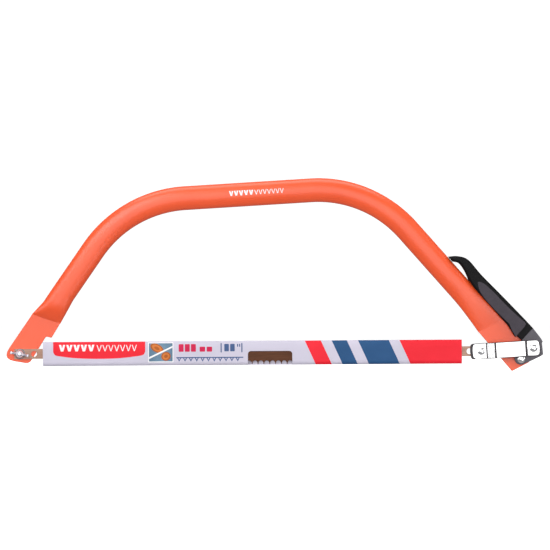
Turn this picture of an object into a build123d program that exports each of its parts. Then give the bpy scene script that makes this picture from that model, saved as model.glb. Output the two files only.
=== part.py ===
from build123d import *
from math import atan2, cos, hypot, radians, sin
import os

# Bow saw. Lengths are in millimetres.
# +X runs along the blade towards the tension lever, +Z is up with the teeth down, the front is -Y.
# The origin is midway between the blade's two outer pin holes, in the middle of its thickness.

# ---------------------------------------------------------------- driving dimensions
pin_spacing = 520.0          # between the clamp bolt and the blade pin

# bow: oval tube, two bends, both ends flattened
tube_width = 27.1            # in the plane of the bow
tube_depth = 15.5            # across it
tube_wall = 1.25
bend_radius = 135.0
left_bend = (-139.1, 170.9)  # where the straight centre lines cross (X, Z)
right_bend = (134.9, 186.3)
left_leg_angle = -124.8      # direction of each leg, going down
right_leg_angle = -48.7
left_leg_length = 160.3      # from the bend's corner to the crease of the flattened end
right_leg_length = 209.6
left_squash = 17.0           # length over which the oval turns into the flat end
right_squash = 38.0
left_crease_skew = 15.9      # crease against square across the leg, degrees
right_crease_skew = -14.9
flat_thickness = 2.6
slit_before_crease = 2.0     # the bore ends this far before the crease
slit = 0.4                   # its thickness there
left_flat_width = 32.7
right_flat_width = 33.5
left_flat_y = 1.7            # the blade lies on the front of this end
right_flat_shift = -1.65     # across the leg, towards the inside of the bow

# blade
blade_thickness = 0.8
tail_height = 11.2
tail_end = 6.5               # from the pin hole to the end of the blade
tail_corner = 3.3            # cut off the corners at the lever's end
blade_back = 6.8
gullet_level = -9.3
tooth_tip = -12.9
tooth_pitch = 6.6
tooth_count = 69
tooth_root = 3.8             # width of one tooth at its root
toothed_from = -226.0
shoulder = 7.0               # length of the slope from tail to toothed part
left_spare_hole = 15.7       # from the clamp bolt
right_spare_hole = 13.1      # from the blade pin
spare_hole_radius = 3.3
blade_hole_radius = 3.0

# sleeve over the blade
sleeve_from, sleeve_to = -234.2, 238.3
sleeve_top, sleeve_bottom = 13.3, -13.9
sleeve_half_depth = 2.5
sleeve_card = 0.5
sleeve_mouth = 1.5           # half depth at the open top edge
sleeve_lean_from = 5.0       # height where the two panels start to lean together
window_from, window_to, window_top = -3.0, 47.0, 1.7
window_corner = 3.5

# clamp at the left end, M5
thread_radius = 2.5
running_gap = 0.05           # radial, between a shaft and the part that turns or slides on it
washer_radius = 5.9
washer_thickness = 1.0
bolt_head_radius = 5.5
bolt_head_height = 2.6
bolt_front = -10.4
nut_hub_radius = 4.75
nut_top_radius = 3.7
nut_height = 5.2
wing_span = 21.5
wing_height = 10.0
wing_thickness = 2.0
wing_turn = -11.0            # of the wings against the blade, seen from the front

# lever, link and their pivots
pivot = (304.9, -9.0)        # lever on the frame (X, Z)
knuckle = (318.6, 3.3)       # link on the lever
rivet_radius = 2.5
rivet_head_radius = 4.6
rivet_head_height = 2.0
side_gap = 0.15              # between flat faces that turn on each other
channel_half_depth = 5.5
channel_wall = 1.5
lobe_radius = 7.5
spacer_radius = 4.6
grip_pin_at = (279.6, 51.0)
grip_pin_radius = 1.5
grip_half_depth = 8.0
grip_collar_half_depth = 6.0
link_height = 17.8
link_thickness = 1.6
link_inner = 1.45            # inner face beside the blade, clear of the flattened tube
link_outer = 7.8             # inner face where it clears the pivot rivet
link_tab = 5.65              # inner face on the lever
link_past_pin = 10.3
link_past_knuckle = 7.5
link_corner = 4.0
link_spacer_radius = 3.2
blade_pin_radius = 2.0
blade_pin_head_radius = 4.3
blade_pin_head_height = 1.8
blade_pin_tail = 1.6         # stands out behind the rear link plate

clamp = (-pin_spacing / 2, 0.0)
blade_pin_at = (pin_spacing / 2, 0.0)


# ---------------------------------------------------------------- helpers
def at(y):
    """A drawing plane at this Y: X to the right, Z up, facing the front."""
    return Plane.XZ.offset(-y)


def along(start, angle, distance):
    """The point this far from start, in the X-Z plane."""
    return (start[0] + distance * cos(radians(angle)), start[1] + distance * sin(radians(angle)))


def leg_section(bend, angle, distance, skew=0.0, y=0.0, shift=0.0):
    """A plane across a leg of the bow: its x runs across the leg, its y runs front to back."""
    x, z = along(bend, angle, distance)
    facing = radians(angle + skew)
    across = Vector(-sin(facing), 0, cos(facing))
    place = Vector(x, y, z) + across * shift
    return Plane(origin=place, x_dir=across, z_dir=Vector(cos(facing), 0, sin(facing)))


def axis_plane(point, y):
    """A plane square to a pivot at (X, Z) and facing the front."""
    return Plane(origin=(point[0], y, point[1]), x_dir=(1, 0, 0), z_dir=(0, -1, 0))


def round_solid(name, point, outline):
    """A turned piece about a pivot at (X, Z). The outline is a list of (radius, Y)."""
    with BuildPart() as piece:
        with BuildSketch(Plane(origin=(point[0], 0, point[1]), x_dir=(1, 0, 0), z_dir=(0, 0, 1))):
            with BuildLine():
                Polyline(*outline, close=True)
            make_face()
        revolve(axis=Axis((point[0], 0, point[1]), (0, 1, 0)))
    return finish(name, piece.part)


def finish(name, solid):
    """Label a finished piece and write its file."""
    solid.label = name
    export_step(solid, f"parts/{name}.step")
    return solid


def dome(radius, height, base, direction, steps=6):
    """Outline points (radius, Y) of a domed head, from its rim to its top."""
    ball = (radius**2 + height**2) / (2 * height)
    edge = atan2(radius, ball - height)
    angles = [edge * (1 - i / steps) for i in range(steps + 1)]
    return [(ball * sin(a), base + direction * (ball * cos(a) - (ball - height))) for a in angles]


os.makedirs("parts", exist_ok=True)

# ---------------------------------------------------------------- bow
left_oval = left_leg_length - left_squash
right_oval = right_leg_length - right_squash

left_crease = leg_section(left_bend, left_leg_angle, left_leg_length, left_crease_skew, left_flat_y)
right_crease = leg_section(right_bend, right_leg_angle, right_leg_length, right_crease_skew, 0.0,
                           right_flat_shift)
left_crease_half = left_flat_width / 2 / cos(radians(left_crease_skew))
right_crease_half = right_flat_width / 2 / cos(radians(right_crease_skew))


def crease_end(plane, half):
    """One end of a crease as (X, Z)."""
    point = plane.origin + plane.x_dir * half
    return (point.X, point.Z)


def oval(inset=0.0):
    """The tube's outline, or its bore's with an inset of the wall."""
    return Ellipse(tube_width / 2 - inset, tube_depth / 2 - inset)


with BuildPart() as frame_tube:
    with BuildLine(Plane.XZ) as centre_line:
        FilletPolyline(
            along(left_bend, left_leg_angle, left_oval), left_bend,
            right_bend, along(right_bend, right_leg_angle, right_oval), radius=bend_radius)
    left_start = leg_section(left_bend, left_leg_angle, left_oval)
    right_start = leg_section(right_bend, right_leg_angle, right_oval)
    with BuildSketch(left_start):
        oval()
    sweep(path=centre_line.wire())
    # the two flattened ends, each from the oval to a thin rounded strip
    for oval_plane, crease_plane, half in (
            (left_start, left_crease, left_crease_half),
            (right_start, right_crease, right_crease_half)):
        with BuildSketch(oval_plane):
            oval()
        with BuildSketch(crease_plane):
            SlotOverall(2 * half, flat_thickness)
        loft()
    # left flat end: notched, the blade is clamped on its front
    with BuildSketch(at(left_flat_y + flat_thickness / 2)):
        with BuildLine():
            edge = FilletPolyline(
                crease_end(left_crease, left_crease_half), (-224.5, 18.0), (-230.7, 19.5),
                (-249.7, -11.0), (-281.8, -5.4), crease_end(left_crease, -left_crease_half),
                radius=[0.6, 2.8, 6.0, 9.0])
            Line(edge @ 1, edge @ 0)
        make_face()
    extrude(amount=flat_thickness)
    # right flat end: carries the lever's pivot
    with BuildSketch(at(flat_thickness / 2)):
        with BuildLine():
            edge = FilletPolyline(
                crease_end(right_crease, -right_crease_half), (294.6, -22.8), (313.8, -13.0),
                (318.6, -3.9), (316.2, 0.5), crease_end(right_crease, right_crease_half),
                radius=[1.2, 1.5, 2.0, 2.0])
            Line(edge @ 1, edge @ 0)
        make_face()
    extrude(amount=flat_thickness)
    # hollow inside: the bore narrows to a slit where the walls meet
    with BuildSketch(left_start):
        oval(tube_wall)
    sweep(path=centre_line.wire(), mode=Mode.SUBTRACT)
    for oval_plane, crease_plane, half in (
            (left_start, left_crease, left_crease_half),
            (right_start, right_crease, right_crease_half)):
        with BuildSketch(oval_plane):
            oval(tube_wall)
        with BuildSketch(crease_plane.offset(-slit_before_crease)):
            Ellipse(half - 2 * tube_wall, slit / 2)
        loft(mode=Mode.SUBTRACT)
    # square hole for the clamp bolt's neck and round hole for the pivot rivet
    with BuildSketch(axis_plane(clamp, left_flat_y + flat_thickness)):
        Rectangle(2 * thread_radius, 2 * thread_radius)
    extrude(amount=2 * flat_thickness, mode=Mode.SUBTRACT)
    with BuildSketch(axis_plane(pivot, flat_thickness)):
        Circle(rivet_radius)
    extrude(amount=2 * flat_thickness, mode=Mode.SUBTRACT)
finish("frame_tube", frame_tube.part)

# ---------------------------------------------------------------- blade
def tooth_points(index):
    """Root, tip and root of one peg tooth."""
    root_from = toothed_from + index * tooth_pitch + (tooth_pitch - tooth_root) / 2
    return [(root_from, gullet_level), (root_from + tooth_root / 2, tooth_tip),
            (root_from + tooth_root, gullet_level)]


toothed_to = toothed_from + tooth_count * tooth_pitch
tail = tail_height / 2
blade_left = clamp[0] - tail_end
slot_from, slot_to = blade_pin_at[0] - 2.5, blade_pin_at[0] + 8.3
slot_height = 6.2
blade_right = slot_to + 2.2
with BuildPart() as blade:
    with BuildSketch(at(blade_thickness / 2)):
        with BuildLine():
            teeth = [point for i in range(tooth_count) for point in tooth_points(i)]
            Polyline(
                (blade_left, tail), (toothed_from - shoulder, tail), (toothed_from, blade_back),
                (toothed_to, blade_back), (toothed_to + shoulder, tail),
                (blade_right - tail_corner, tail), (blade_right, tail - tail_corner),
                (blade_right, tail_corner - tail), (blade_right - tail_corner, -tail),
                (toothed_to + shoulder, -tail), (toothed_to, gullet_level),
                *reversed(teeth), (toothed_from, gullet_level), (toothed_from - shoulder, -tail),
                (blade_left, -tail), close=True)
        make_face()
        with Locations(clamp):
            Circle(blade_hole_radius, mode=Mode.SUBTRACT)
        with Locations((clamp[0] + left_spare_hole, 0), (blade_pin_at[0] - right_spare_hole, 0)):
            Circle(spare_hole_radius, mode=Mode.SUBTRACT)
        # the tension pin's hole is a slot, so that the pin can follow the lever's throw
        with Locations(((slot_from + slot_to) / 2, 0)):
            SlotOverall(slot_to - slot_from, slot_height, mode=Mode.SUBTRACT)
    extrude(amount=blade_thickness)
finish("blade", blade.part)

# ---------------------------------------------------------------- sleeve
# One folded card. Its two panels and the fold between them are separate solids, so that the
# space for the blade stays open.
fold_centre = sleeve_bottom + sleeve_half_depth
inner_depth = sleeve_half_depth - sleeve_card
sleeve_length = sleeve_to - sleeve_from
with BuildSketch(at(0)) as window:
    with BuildLine():
        edge = FilletPolyline((window_from, sleeve_bottom - 1), (window_from, window_top),
                              (window_to, window_top), (window_to, sleeve_bottom - 1),
                              radius=window_corner)
        Line(edge @ 1, edge @ 0)
    make_face()
for name, side in (("sleeve_front", -1), ("sleeve_rear", 1)):
    with BuildPart() as panel:
        with BuildSketch(Plane.YZ.offset(sleeve_from)):
            with BuildLine():
                Polyline((side * sleeve_mouth, sleeve_top),
                         (side * sleeve_half_depth, sleeve_lean_from),
                         (side * sleeve_half_depth, fold_centre), (side * inner_depth, fold_centre),
                         (side * inner_depth, sleeve_lean_from),
                         (side * (sleeve_mouth - sleeve_card), sleeve_top), close=True)
            make_face()
        extrude(amount=sleeve_length)
        if side < 0:
            extrude(window.sketch, amount=2 * sleeve_half_depth, mode=Mode.SUBTRACT)
    finish(name, panel.part)

with BuildPart() as sleeve_fold:
    with BuildSketch(Plane.YZ.offset(sleeve_from)):
        with BuildLine():
            ThreePointArc((-sleeve_half_depth, fold_centre), (0, sleeve_bottom),
                          (sleeve_half_depth, fold_centre))
            Line((sleeve_half_depth, fold_centre), (inner_depth, fold_centre))
            ThreePointArc((inner_depth, fold_centre), (0, sleeve_bottom + sleeve_card),
                          (-inner_depth, fold_centre))
            Line((-inner_depth, fold_centre), (-sleeve_half_depth, fold_centre))
        make_face()
    extrude(amount=sleeve_length)
    extrude(window.sketch, amount=2 * sleeve_half_depth, mode=Mode.SUBTRACT)
finish("sleeve_fold", sleeve_fold.part)

# ---------------------------------------------------------------- clamp: bolt, washer, wing nut
blade_front = -blade_thickness / 2
washer_front = blade_front - washer_thickness
nut_front = washer_front - nut_height
plate_back = left_flat_y + flat_thickness / 2
with BuildPart() as clamp_bolt:
    with BuildSketch(axis_plane(clamp, plate_back)):
        Circle(thread_radius)
    extrude(amount=plate_back - bolt_front)
    chamfer(clamp_bolt.edges().filter_by(GeomType.CIRCLE).sort_by(Axis.Y)[0], 0.6)
    with BuildSketch(axis_plane(clamp, plate_back)):
        Rectangle(2 * thread_radius - 0.1, 2 * thread_radius - 0.1)
    extrude(amount=flat_thickness)
    with BuildSketch(Plane(origin=(clamp[0], 0, 0), x_dir=(1, 0, 0), z_dir=(0, 0, 1))):
        with BuildLine():
            Polyline((0, plate_back), *dome(bolt_head_radius, bolt_head_height, plate_back, 1),
                     close=True)
        make_face()
    revolve(axis=Axis((clamp[0], 0, 0), (0, 1, 0)))
finish("clamp_bolt", clamp_bolt.part)

washer_bore = thread_radius + 0.25
round_solid("clamp_washer", clamp, [
    (washer_bore, blade_front), (washer_radius, blade_front), (washer_radius, washer_front + 0.2),
    (washer_radius - 0.2, washer_front), (washer_bore, washer_front)])

with BuildPart() as wing_nut:
    with BuildSketch(Plane(origin=(clamp[0], 0, 0), x_dir=(1, 0, 0), z_dir=(0, 0, 1))):
        with BuildLine():
            Polyline((thread_radius + running_gap, washer_front), (nut_hub_radius, washer_front),
                     (nut_hub_radius, washer_front - 0.8), (nut_top_radius, nut_front),
                     (thread_radius + running_gap, nut_front), close=True)
        make_face()
    revolve(axis=Axis((clamp[0], 0, 0), (0, 1, 0)))
    # one wing drawn in the plane of the nut's axis, then the other turned half round
    for turn in (wing_turn, wing_turn + 180):
        out = Vector(cos(radians(turn)), 0, sin(radians(turn)))
        wing_plane = Plane(origin=(clamp[0], washer_front, 0), x_dir=out,
                           z_dir=out.cross(Vector(0, -1, 0)))
        with BuildSketch(wing_plane):
            with BuildLine():
                Spline((3.4, 1.0), (6.4, 2.2), (9.6, 5.2), (wing_span / 2, 8.4), (9.6, wing_height),
                       (7.0, 7.6), (3.4, 4.6), tangents=[(1, 0.1), (-1, -1)])
                Line((3.4, 4.6), (3.4, 1.0))
            make_face()
        extrude(amount=wing_thickness / 2, both=True)
finish("wing_nut", wing_nut.part)

# ---------------------------------------------------------------- lever's pivot
cheek_inner = channel_half_depth - channel_wall
head_seat = channel_half_depth + side_gap
round_solid("pivot_rivet", pivot, [
    *reversed(dome(rivet_head_radius, rivet_head_height, -head_seat, -1)),
    (rivet_radius, -head_seat), (rivet_radius, head_seat),
    *dome(rivet_head_radius, rivet_head_height, head_seat, 1)])

for side, name in ((-1, "pivot_spacer_front"), (1, "pivot_spacer_rear")):
    round_solid(name, pivot, [
        (rivet_radius, side * flat_thickness / 2), (spacer_radius, side * flat_thickness / 2),
        (spacer_radius, side * (cheek_inner - side_gap)),
        (rivet_radius, side * (cheek_inner - side_gap))])

# ---------------------------------------------------------------- tension lever
def draw_channel():
    """Outline of the steel channel: lobe round the pivot, bare base, narrower part in the grip."""
    Polyline(along(pivot, -56.0, lobe_radius), (314.2, -12.0), (327.0, -5.9), (329.7, -3.9),
             (328.3, 8.6), (329.2, 10.6), (326.9, 14.5), (317.9, 26.2), (314.1, 25.9),
             (279.8, 62.2), (272.8, 58.6), (287.3, 36.5), (305.5, 14.1),
             along(pivot, 172.0, lobe_radius))
    CenterArc(pivot, lobe_radius, 172.0, 132.0)


def draw_channel_space():
    """Space inside the channel, open towards the bow and at both ends."""
    Polyline((268.0, 57.0), (277.7, 61.9), (313.5, 23.9), (316.9, 24.3),
             (325.5, 13.4), (327.4, 10.4), (326.7, 8.4), (328.0, -3.0), (330.0, -12.0),
             (305.0, -30.0), (270.0, 0.0), close=True)


with BuildPart() as tension_lever:
    with BuildSketch(at(channel_half_depth)):
        with BuildLine():
            draw_channel()
        make_face()
    extrude(amount=2 * channel_half_depth)
    with BuildSketch(at(cheek_inner)):
        with BuildLine():
            draw_channel_space()
        make_face()
    extrude(amount=2 * cheek_inner, mode=Mode.SUBTRACT)
    for centre, radius in ((pivot, rivet_radius + running_gap),
                           (knuckle, rivet_radius + running_gap), (grip_pin_at, grip_pin_radius)):
        with BuildSketch(axis_plane(centre, 2 * grip_half_depth)):
            Circle(radius)
        extrude(amount=4 * grip_half_depth, mode=Mode.SUBTRACT)
finish("tension_lever", tension_lever.part)

# ---------------------------------------------------------------- grip on the lever
with BuildPart() as lever_grip:
    # whole outline in the plane of the bow: curved tip, thick middle, end beside the base
    with BuildSketch(at(grip_half_depth)):
        with BuildLine():
            Spline((223.3, 106.8), (234.0, 107.4), (245.8, 103.1), (260.6, 86.0), (280.7, 65.4),
                   (310.9, 33.9), tangents=[(1, 0.15), (0.69, -0.72)])
            Polyline((310.9, 33.9), (299.7, 16.6), (291.2, 30.4), (246.2, 80.9))
            Spline((246.2, 80.9), (243.8, 86.3), (240.4, 92.9), (235.2, 99.4), (228.4, 100.9),
                   tangents=[(-0.4, 0.9), (-1, 0)])
            Line((228.4, 100.9), (223.3, 106.8))
        make_face()
    extrude(amount=2 * grip_half_depth)
    # thin collar between the grip's thick part and the bare base
    with BuildSketch(at(grip_collar_half_depth)):
        with BuildLine():
            Polyline((308.0, 36.9), (318.9, 25.0), (316.2, 23.8), (305.4, 11.9), (296.9, 20.0),
                     close=True)
        make_face()
    extrude(amount=2 * grip_collar_half_depth)
    # pocket for the channel, and the slit that takes the edge of the flattened tube
    with BuildSketch(at(channel_half_depth)):
        with BuildLine():
            draw_channel()
        make_face()
    extrude(amount=2 * channel_half_depth, mode=Mode.SUBTRACT)
    with BuildSketch(at(cheek_inner)):
        with BuildLine():
            draw_channel_space()
        make_face()
    extrude(amount=2 * cheek_inner, mode=Mode.SUBTRACT)
    with BuildSketch(axis_plane(grip_pin_at, 2 * grip_half_depth)):
        Circle(grip_pin_radius)
    extrude(amount=4 * grip_half_depth, mode=Mode.SUBTRACT)
finish("lever_grip", lever_grip.part)

pin_end = grip_half_depth - 0.4
round_solid("grip_pin", grip_pin_at, [
    (0, -pin_end), (grip_pin_radius, -pin_end), (grip_pin_radius, pin_end), (0, pin_end)])

# ---------------------------------------------------------------- link between lever and blade
link_run = (knuckle[0] - blade_pin_at[0], knuckle[1] - blade_pin_at[1])
link_length = hypot(*link_run)
link_slope = atan2(link_run[1], link_run[0])
link_right = Vector(cos(link_slope), 0, sin(link_slope))
link_up = Vector(-sin(link_slope), 0, cos(link_slope))
pin_place = Vector(blade_pin_at[0], 0, blade_pin_at[1])


def link_plate(name, side):
    """One joggled strap; side is -1 for the front one and 1 for the rear one."""
    beside_blade, clear_of_rivet, on_lever = (
        side * (inner + link_thickness / 2) for inner in (link_inner, link_outer, link_tab))
    with BuildPart() as plate:
        with BuildSketch(Plane(origin=pin_place - link_up * link_height / 2, x_dir=link_right,
                               z_dir=link_up)):
            with BuildLine():
                FilletPolyline(
                    (-link_past_pin, beside_blade), (7.3, beside_blade), (16.0, clear_of_rivet),
                    (50.0, clear_of_rivet), (51.8, on_lever),
                    (link_length + link_past_knuckle, on_lever), radius=1.2)
            trace(line_width=link_thickness)
        extrude(amount=link_height)
        face_plane = Plane(origin=pin_place + Vector(0, link_height, 0), x_dir=link_right,
                           z_dir=(0, -1, 0))
        with BuildSketch(face_plane):
            with Locations(((link_length + link_past_knuckle - link_past_pin) / 2, 0)):
                RectangleRounded(link_length + link_past_knuckle + link_past_pin, link_height,
                                 link_corner)
        extrude(amount=2 * link_height, mode=Mode.INTERSECT)
        for centre, radius in ((blade_pin_at, blade_pin_radius + running_gap), (knuckle, rivet_radius)):
            with BuildSketch(axis_plane(centre, 2 * grip_half_depth)):
                Circle(radius)
            extrude(amount=4 * grip_half_depth, mode=Mode.SUBTRACT)
    finish(name, plate.part)


link_plate("link_plate_front", -1)
link_plate("link_plate_rear", 1)

tab_face = link_tab + link_thickness
round_solid("link_rivet", knuckle, [
    *reversed(dome(rivet_head_radius, rivet_head_height, -tab_face, -1)),
    (rivet_radius, -tab_face), (rivet_radius, tab_face),
    *dome(rivet_head_radius, rivet_head_height, tab_face, 1)])

spacer_end = cheek_inner - side_gap
round_solid("link_spacer", knuckle, [
    (rivet_radius, -spacer_end), (link_spacer_radius, -spacer_end),
    (link_spacer_radius, spacer_end), (rivet_radius, spacer_end)])

pin_seat = link_inner + link_thickness + side_gap
pin_back = pin_seat + blade_pin_tail
round_solid("blade_pin", blade_pin_at, [
    *reversed(dome(blade_pin_head_radius, blade_pin_head_height, -pin_seat, -1)),
    (blade_pin_radius, -pin_seat), (blade_pin_radius, pin_back - 0.5),
    (blade_pin_radius - 0.5, pin_back), (0, pin_back)])
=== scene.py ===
from math import acos, atan2, copysign, cos, pi, radians, sin, sqrt, tan

import bmesh
import bpy
from mathutils import Matrix, Vector


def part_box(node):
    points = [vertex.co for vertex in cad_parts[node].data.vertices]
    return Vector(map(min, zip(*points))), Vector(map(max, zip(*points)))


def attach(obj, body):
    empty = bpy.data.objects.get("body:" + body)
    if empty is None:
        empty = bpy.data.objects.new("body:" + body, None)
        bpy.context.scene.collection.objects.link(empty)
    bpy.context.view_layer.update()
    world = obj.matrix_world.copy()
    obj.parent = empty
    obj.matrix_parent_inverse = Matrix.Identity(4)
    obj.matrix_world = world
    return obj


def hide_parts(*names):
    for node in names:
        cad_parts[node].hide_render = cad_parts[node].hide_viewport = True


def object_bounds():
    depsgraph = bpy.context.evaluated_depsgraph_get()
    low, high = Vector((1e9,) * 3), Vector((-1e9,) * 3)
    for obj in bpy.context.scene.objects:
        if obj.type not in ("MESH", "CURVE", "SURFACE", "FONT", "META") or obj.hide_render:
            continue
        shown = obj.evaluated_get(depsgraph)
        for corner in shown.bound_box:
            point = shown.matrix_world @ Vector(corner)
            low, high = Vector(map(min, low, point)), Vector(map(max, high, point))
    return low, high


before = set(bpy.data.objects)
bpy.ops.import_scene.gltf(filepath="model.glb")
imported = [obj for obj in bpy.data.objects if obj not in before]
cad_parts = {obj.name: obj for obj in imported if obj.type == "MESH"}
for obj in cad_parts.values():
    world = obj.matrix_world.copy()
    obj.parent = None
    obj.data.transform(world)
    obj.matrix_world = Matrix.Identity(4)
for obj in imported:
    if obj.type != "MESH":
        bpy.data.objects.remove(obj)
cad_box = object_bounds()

# Bow saw with a tension lever. Shapes are drawn in millimetres in the model's frame, where +X runs
# along the blade to the lever, +Z is up and the front is -Y; they become metres as they are made.
MM = 0.001
scene = bpy.context.scene


def extent(node, axis):
    """Where a CAD node begins and ends along an axis, in millimetres."""
    return [getattr(corner, axis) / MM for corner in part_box(node)]


def centre_of(node):
    """(X, Z) of the middle of a CAD node, in millimetres."""
    low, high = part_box(node)
    middle = (low + high) / 2 / MM
    return (middle.x, middle.z)


CLAMP = centre_of("clamp_washer")
PIVOT = centre_of("pivot_rivet")
KNUCKLE = centre_of("link_rivet")
BLADE_PIN = centre_of("blade_pin")

# ======== outlines
MOST_OF_SIDE = 0.48  # share of a side that rounding one corner may take
SHARPEST = 0.4  # stops an inset corner from running away at a sharp point


def soften(points, radius, closed=True, steps=5):
    """Round the corners of an outline. radius is one number or one for each point."""
    count = len(points)
    radii = radius if isinstance(radius, (list, tuple)) else [radius] * count
    out = []
    for i, point in enumerate(points):
        here = Vector(point)
        if radii[i] <= 0 or (not closed and i in (0, count - 1)):
            out.append(tuple(here))
            continue
        back = Vector(points[i - 1]) - here
        ahead = Vector(points[(i + 1) % count]) - here
        half = back.angle(ahead) / 2
        reach = min(radii[i] / tan(half), MOST_OF_SIDE * back.length, MOST_OF_SIDE * ahead.length)
        first = here + back.normalized() * reach
        last = here + ahead.normalized() * reach
        for k in range(steps + 1):
            t = k / steps
            spot = first * (1 - t) ** 2 + here * 2 * t * (1 - t) + last * t**2
            out.append(tuple(spot))
    return out


def flowing(points, steps=8):
    """A smooth open line through the points (Catmull-Rom)."""
    knots = [Vector(p) for p in points]
    knots = [2 * knots[0] - knots[1]] + knots + [2 * knots[-1] - knots[-2]]
    out = []
    for a, b, c, d in zip(knots, knots[1:], knots[2:], knots[3:]):
        for k in range(steps):
            t = k / steps
            out.append(tuple(((2 * b) + (c - a) * t + (2 * a - 5 * b + 4 * c - d) * t**2
                              + (3 * b - a - 3 * c + d) * t**3) / 2))
    out.append(tuple(knots[-2]))
    return out


def ellipse(centre, across, up, tilt, segments=36):
    """Points round an ellipse, tilted by an angle in degrees."""
    turn = radians(tilt)
    return [(centre[0] + across * cos(a) * cos(turn) - up * sin(a) * sin(turn),
             centre[1] + across * cos(a) * sin(turn) + up * sin(a) * cos(turn))
            for a in (2 * pi * i / segments for i in range(segments))]


def circle(centre, radius, segments=40):
    """Points round a full circle."""
    return ellipse(centre, radius, radius, 0.0, segments)


def arc(centre, radius, start, end, steps=16):
    """Points on an arc, angles in degrees."""
    angles = [radians(start + (end - start) * i / steps) for i in range(steps + 1)]
    return [(centre[0] + radius * cos(a), centre[1] + radius * sin(a)) for a in angles]


def box_outline(left, right, low, high):
    """An upright rectangle."""
    return [(left, low), (right, low), (right, high), (left, high)]


def square_about(centre, half):
    """An upright square, from its middle and half its side."""
    return box_outline(centre[0] - half, centre[0] + half, centre[1] - half, centre[1] + half)


def facing(loop, counter_clockwise):
    """The loop, turned the way that is asked."""
    area = sum(a[0] * b[1] - b[0] * a[1] for a, b in zip(loop, loop[1:] + loop[:1]))
    return loop if (area > 0) == counter_clockwise else loop[::-1]


def inset(loop, distance):
    """The loop moved to its left by this distance."""
    out = []
    for i, point in enumerate(loop):
        here = Vector(point)
        before = (here - Vector(loop[i - 1])).normalized()
        after = (Vector(loop[(i + 1) % len(loop)]) - here).normalized()
        normal = Vector((-before.y - after.y, before.x + after.x)).normalized()
        stretch = max(SHARPEST, normal.dot(Vector((-before.y, before.x))))
        out.append(tuple(here + normal * distance / stretch))
    return out


# ======== solids
WELD = 0.002  # points closer than this become one after a boolean
ON_AXIS = 1e-6  # a turned profile's point this near the axis is a pole


def skin(bm, rows, capped=False):
    """Faces between rows of points, and over the first and last row if asked."""
    for row, following in zip(rows, rows[1:]):
        for i in range(len(row)):
            corners = (row[i - 1], row[i], following[i], following[i - 1])
            bm.faces.new(list(dict.fromkeys(corners)))
    if capped:
        bm.faces.new(rows[0])
        bm.faces.new(rows[-1])


def slab(outer, y_front, y_back, edge=0.0, holes=(), steps=3):
    """A plate with this outline in X and Z, between two Y levels, with rounded edges."""
    bm = bmesh.new()
    loops = [facing(list(outer), True)] + [facing(list(hole), False) for hole in holes]
    rings = [(0.0, y_front), (0.0, y_back)]
    if edge:
        turns = [radians(90 * k / steps) for k in range(steps + 1)]
        front = [(edge * (1 - sin(a)), y_front + edge * (1 - cos(a))) for a in turns]
        rings = front + [(i, y_back - (y - y_front)) for i, y in reversed(front)]
    front_rim, back_rim = [], []
    for loop in loops:
        rows = []
        for amount, y in rings:
            flat = inset(loop, amount) if amount else loop
            rows.append([bm.verts.new((x, y, z)) for x, z in flat])
        skin(bm, rows)
        for rim, row in ((front_rim, rows[0]), (back_rim, rows[-1])):
            rim += [bm.edges.get((row[i - 1], row[i])) for i in range(len(row))]
    for rim, normal in ((front_rim, (0, -1, 0)), (back_rim, (0, 1, 0))):
        bmesh.ops.triangle_fill(bm, edges=rim, use_beauty=True, normal=normal)
    bmesh.ops.recalc_face_normals(bm, faces=bm.faces)
    return bm


def lathe(profile, centre, segments=56, ring=False):
    """A turned piece about a front-to-back axis. profile is (radius, Y); a ring's joins up."""
    bm = bmesh.new()
    rows = []
    for radius, y in profile:
        if radius < ON_AXIS:
            rows.append([bm.verts.new((centre[0], y, centre[1]))] * segments)
            continue
        rows.append([bm.verts.new((x, y, z)) for x, z in circle(centre, radius, segments)])
    skin(bm, rows + rows[:1] if ring else rows)
    bmesh.ops.recalc_face_normals(bm, faces=bm.faces)
    return bm


def cut_across(bm, axis, places):
    """Add edge loops at these places along x or z, so that the mesh can be bent there."""
    normal = Vector((axis == "x", 0, axis == "z"))
    for place in places:
        geometry = bm.verts[:] + bm.edges[:] + bm.faces[:]
        bmesh.ops.bisect_plane(bm, geom=geometry, plane_co=normal * place, plane_no=normal)


def move_points(bm, change):
    """Send every point through a function of x, y and z."""
    for vert in bm.verts:
        vert.co = Vector(change(*vert.co))


def merge(parts):
    """One mesh of several."""
    whole = bmesh.new()
    for part in parts:
        mesh = bpy.data.meshes.new("part")
        part.to_mesh(mesh)
        part.free()
        whole.from_mesh(mesh)
        bpy.data.meshes.remove(mesh)
    return whole


def new_object(name, bm, *materials):
    """An object in the scene, made from a mesh that is used up."""
    mesh = bpy.data.meshes.new(name)
    bm.to_mesh(mesh)
    bm.free()
    for material in materials:
        mesh.materials.append(material)
    obj = bpy.data.objects.new(name, mesh)
    scene.collection.objects.link(obj)
    return obj


def combine(first, second, operation):
    """A boolean of two closed meshes: DIFFERENCE or UNION."""
    objects = [new_object("operand", bm) for bm in (first, second)]
    modifier = objects[0].modifiers.new("combine", "BOOLEAN")
    modifier.object = objects[1]
    modifier.operation = operation
    modifier.solver = "EXACT"
    evaluated = objects[0].evaluated_get(bpy.context.evaluated_depsgraph_get())
    result = bmesh.new()
    result.from_mesh(evaluated.to_mesh())
    evaluated.to_mesh_clear()
    for obj in objects:
        bpy.data.meshes.remove(obj.data)
    bmesh.ops.remove_doubles(result, verts=result.verts, dist=WELD)
    return result


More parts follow.
